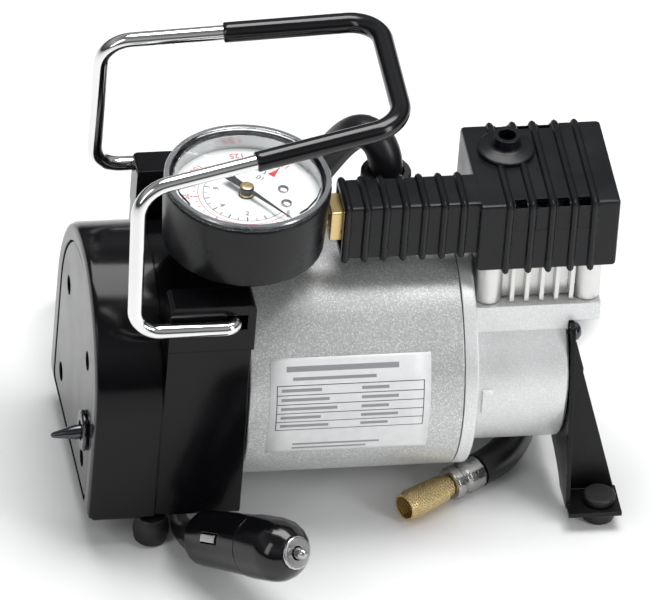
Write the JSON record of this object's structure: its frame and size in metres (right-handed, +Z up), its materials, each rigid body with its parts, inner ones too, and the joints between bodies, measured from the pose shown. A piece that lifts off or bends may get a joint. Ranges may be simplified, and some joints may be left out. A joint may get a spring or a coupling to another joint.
{
  "type": "portable tire inflator",
  "caption": "Portable 12 V air pump: barrel motor, finned piston head, dial gauge, folding wire handle, coiled cord and hose with a valve chuck.",
  "frame": {"origin": "on the ground under the middle of the body's box, without the cord and hose", "axes": "+X along the motor from the switch end to the pump end, +Y away from the side with the label, +Z up"},
  "size_m": [0.1926, 0.2108, 0.1616],
  "materials": {
    "black_gloss": "glossy moulded plastic",
    "black_sheet": "satin black paint on bent steel sheet",
    "cover_black": "charcoal satin moulded plastic",
    "silver_paint": "fine metallic silver paint",
    "white_paint": "pale silver-white paint on a casting",
    "cast_aluminium": "bare casting",
    "steel": "bare steel",
    "chrome": "polished chrome plate",
    "brass": "turned brass",
    "copper": "enamelled copper",
    "ferrite": "sintered ferrite and carbon",
    "rubber": "black moulded rubber",
    "hose_rubber": "black smooth rubber hose",
    "cord_black": "black soft plastic sheath",
    "grip_vinyl": "glossy black vinyl sleeve",
    "plug_black": "glossy black plastic",
    "dial_white": "white printed dial",
    "needle_black": "black painted pointer",
    "lens_clear": "clear plastic lens"
  },
  "bodies": {
    "pump": {"rear_housing": "black_gloss", "rear_panel": "black_gloss", "foot_bracket": "black_sheet", "head_cover": "cover_black", "gauge_case": "cover_black", "brush_holder": "cover_black", "switch_body": "cover_black", "motor_tube": "silver_paint", "crankcase": "white_paint", "cylinder": "cast_aluminium", "cylinder_head": "cast_aluminium", "motor_end_bell": "cast_aluminium", "hose_ferrule": "cast_aluminium", "panel_screw_1": "steel", "panel_screw_2": "steel", "panel_screw_3": "steel", "panel_screw_4": "steel", "bracket_screw_near": "steel", "bracket_screw_far": "steel", "rear_bearing": "steel", "front_bearing": "steel", "valve_plate": "steel", "plug_washer": "steel", "plug_contact": "steel", "switch_bezel": "steel", "brass_tee": "brass", "chuck_body": "brass", "bourdon_tube": "brass", "magnet_near": "ferrite", "magnet_far": "ferrite", "brush_upper": "ferrite", "brush_lower": "ferrite", "front_foot_near": "rubber", "front_foot_far": "rubber", "rear_foot_near": "rubber", "rear_foot_far": "rubber", "hose_fitting": "rubber", "hose": "hose_rubber", "cord_gland": "cord_black", "power_cord_feed": "cord_black", "power_cord_lead": "cord_black", "cord_coil": "cord_black", "plug_tail": "cord_black", "plug_body": "plug_black", "plug_nose": "plug_black", "gauge_dial": "dial_white", "gauge_lens": "lens_clear"},
    "handle": {"handle_wire": "chrome", "handle_grip": "grip_vinyl"},
    "toggle": {"toggle_lever": "chrome"},
    "rotor": {"motor_shaft": "steel", "armature_core": "steel", "armature_winding": "copper", "commutator": "copper", "cooling_fan": "cover_black", "crank_wheel": "steel"},
    "rod": {"con_rod": "cast_aluminium"},
    "piston": {"piston": "cast_aluminium"},
    "needle": {"gauge_needle": "needle_black"},
    "plug_pin": {"plug_tip": "steel"}
  },
  "joints": [
    {"name": "handle_pivot", "type": "hinge", "parent": "pump", "child": "handle", "pos_m": [-0.039, 0, 0.0907], "axis": [0, 1, 0], "range_deg": [-60, 26]},
    {"name": "toggle_throw", "type": "hinge", "parent": "pump", "child": "toggle", "pos_m": [-0.0807, -0.025, 0.0358], "axis": [0, 1, 0], "range_deg": [0, 20]},
    {"name": "motor_spin", "type": "hinge", "parent": "pump", "child": "rotor", "pos_m": [0, 0, 0.0475], "axis": [1, 0, 0], "continuous": true},
    {"name": "crank_pin_pivot", "type": "hinge", "parent": "rotor", "child": "rod", "pos_m": [0.0608, 0.006, 0.0475], "axis": [1, 0, 0], "continuous": true},
    {"name": "piston_stroke", "type": "slide", "parent": "pump", "child": "piston", "axis": [0, 0, 1], "range_m": [-0.006, 0.006]},
    {"name": "needle_sweep", "type": "hinge", "parent": "pump", "child": "needle", "pos_m": [-0.0326, -0.0114, 0.1221], "axis": [0, 0, 1], "range_deg": [-270, 0]},
    {"name": "plug_pin_travel", "type": "slide", "parent": "pump", "child": "plug_pin", "axis": [-0.4992, 0.7494, -0.435], "range_m": [0, 0.0025], "stiffness_N_per_m": 200}
  ],
  "couplings": [
    {"joint": "crank_pin_pivot", "follows": "motor_spin", "ratio": -1}
  ]
}
